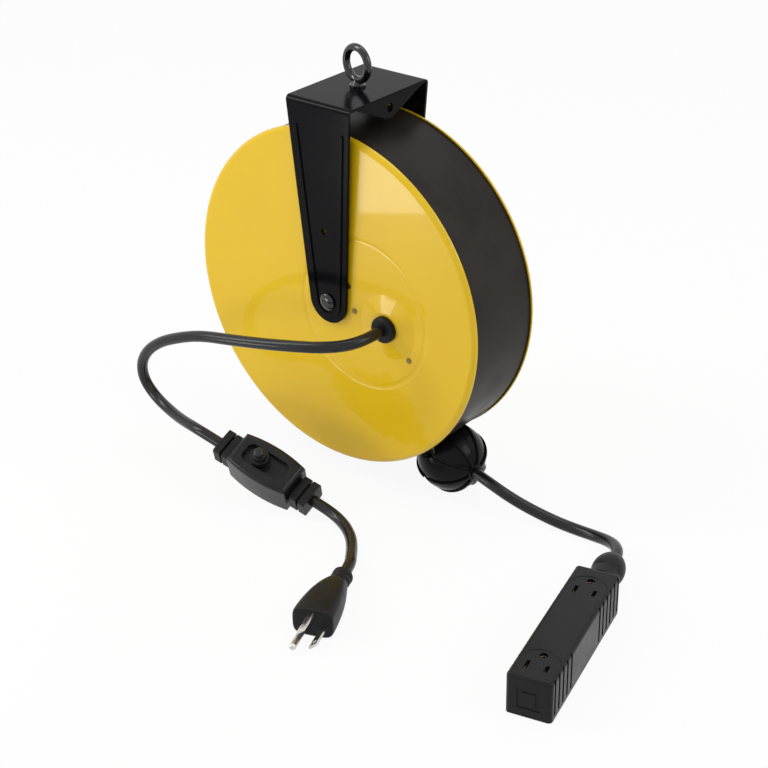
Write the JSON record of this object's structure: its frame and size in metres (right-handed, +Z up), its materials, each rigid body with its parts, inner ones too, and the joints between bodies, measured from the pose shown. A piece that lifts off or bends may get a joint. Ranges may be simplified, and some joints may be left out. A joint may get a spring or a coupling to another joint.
{
  "type": "extension cord reel",
  "caption": "Hanging spring-return cord reel: yellow drum in a black swinging bracket with eye bolt, ball stop, outlet block, in-line breaker and grounded plug.",
  "frame": {"origin": "centre of the hanging eye's ring", "axes": "+Z up along the bracket, +Y along the drum's axis from the inlet side to the rear, +X towards the side where the cord leaves"},
  "size_m": [0.4359, 0.264, 0.3187],
  "materials": {
    "yellow_enamel": "glossy warm yellow enamel",
    "black_band": "matte black paint",
    "black_enamel": "glossy black enamel",
    "black_steel": "black wire, glossy",
    "rivet_steel": "plated rivet",
    "zinc_steel": "zinc plated",
    "spring_steel": "blued spring strip",
    "black_plastic": "moulded, satin black",
    "core_plastic": "dark grey moulding",
    "disc_plastic": "brown insulating sheet",
    "carbon": "pressed carbon",
    "brass": "bare brass",
    "breaker_case": "moulded, satin black",
    "breaker_button": "moulded, glossy black",
    "cord_jacket": "satin black jacket",
    "moulded_rubber": "moulded, satin black",
    "block_plastic": "moulded, satin black"
  },
  "bodies": {
    "housing": {"front_cover": "yellow_enamel", "rear_cover": "yellow_enamel", "cover_rivets": "rivet_steel", "rim_band": "black_band", "cord_guide": "black_plastic", "center_shaft": "zinc_steel", "pivot_bolts": "black_steel", "pivot_washers": "black_steel", "inlet_bushing": "black_plastic", "brush_holder": "disc_plastic", "brushes": "carbon", "spring_arbor": "zinc_steel", "pawl_pin": "zinc_steel", "inlet_cord": "cord_jacket", "breaker_bottom": "breaker_case", "breaker_top": "breaker_case", "breaker_screws": "zinc_steel", "breaker_grommets": "moulded_rubber", "link_cord": "cord_jacket", "plug_body": "moulded_rubber", "plug_blades": "brass", "ground_pin": "brass"},
    "bracket": {"bracket": "black_enamel"},
    "eye": {"eye_bolt": "black_steel", "eye_nut": "black_steel"},
    "spool": {"spool_core": "core_plastic", "spool_bushings": "core_plastic", "spool_flange_front": "zinc_steel", "spool_flange_rear": "zinc_steel", "flange_rivets": "rivet_steel", "wound_cord": "cord_jacket", "slip_ring_disc": "disc_plastic", "slip_rings": "brass", "spring_cup": "zinc_steel", "spring_cover": "zinc_steel", "power_spring": "spring_steel", "ratchet_wheel": "zinc_steel"},
    "pawl": {"pawl": "zinc_steel"},
    "pulled_cord": {"cord_lead": "cord_jacket", "ball_half_front": "black_plastic", "ball_half_rear": "black_plastic", "ball_screws": "zinc_steel", "outlet_cord": "cord_jacket", "block_body": "block_plastic", "block_base": "block_plastic", "block_contacts": "brass", "block_screws": "zinc_steel", "block_strain_relief": "moulded_rubber"},
    "reset_button": {"reset_button": "breaker_button"}
  },
  "joints": [
    {"name": "bracket_pivot", "type": "hinge", "parent": "housing", "child": "bracket", "pos_m": [0, 0, -0.164], "axis": [0, 1, 0], "range_deg": [-90, 52]},
    {"name": "eye_swivel", "type": "hinge", "parent": "bracket", "child": "eye", "pos_m": [0, 0, -0.017], "axis": [0, 0, 1], "continuous": true},
    {"name": "cord_pull", "type": "slide", "parent": "housing", "child": "pulled_cord", "axis": [1, 0, 0], "range_m": [0, 0.361], "stiffness_N_per_m": 10, "springref_m": -0.9},
    {"name": "spool_spin", "type": "hinge", "parent": "housing", "child": "spool", "pos_m": [0, 0, -0.164], "axis": [0, -1, 0], "range_deg": [0, 180], "deforming": ["power_spring"]},
    {"name": "pawl_swing", "type": "hinge", "parent": "housing", "child": "pawl", "pos_m": [0, 0, -0.09], "axis": [0, -1, 0], "range_deg": [0, 15.6], "stiffness_Nm_per_rad": 0.02, "springref_deg": -34.38},
    {"name": "reset_press", "type": "slide", "parent": "housing", "child": "reset_button", "axis": [-0.292, 0.4003, -0.8686], "range_m": [0, 0.0025], "stiffness_N_per_m": 900, "springref_m": -0.002}
  ],
  "couplings": [
    {"joint": "spool_spin", "follows": "cord_pull", "rad_per_m": 8.696}
  ]
}
